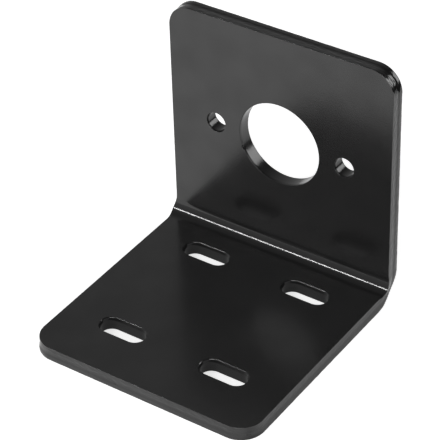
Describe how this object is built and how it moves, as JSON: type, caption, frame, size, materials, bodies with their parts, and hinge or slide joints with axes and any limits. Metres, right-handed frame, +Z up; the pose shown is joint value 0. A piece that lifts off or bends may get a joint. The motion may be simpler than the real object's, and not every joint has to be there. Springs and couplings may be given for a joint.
{
  "type": "motor mounting bracket",
  "caption": "Right-angle motor bracket folded from plate: pilot bore and screw holes in the upright, obround slots in the base, gloss black coat.",
  "frame": {"origin": "under the middle of the base, on its underside: the middle of the footprint's length and width", "axes": "+Z up, +X along the bend, the base reaches towards -Y and the upright stands at +Y, so the shaft runs along Y"},
  "size_m": [0.051, 0.052, 0.052],
  "materials": {
    "gloss_black_coat": "gloss"
  },
  "bodies": {
    "root": {"motor_bracket": "gloss_black_coat"}
  },
  "joints": []
}
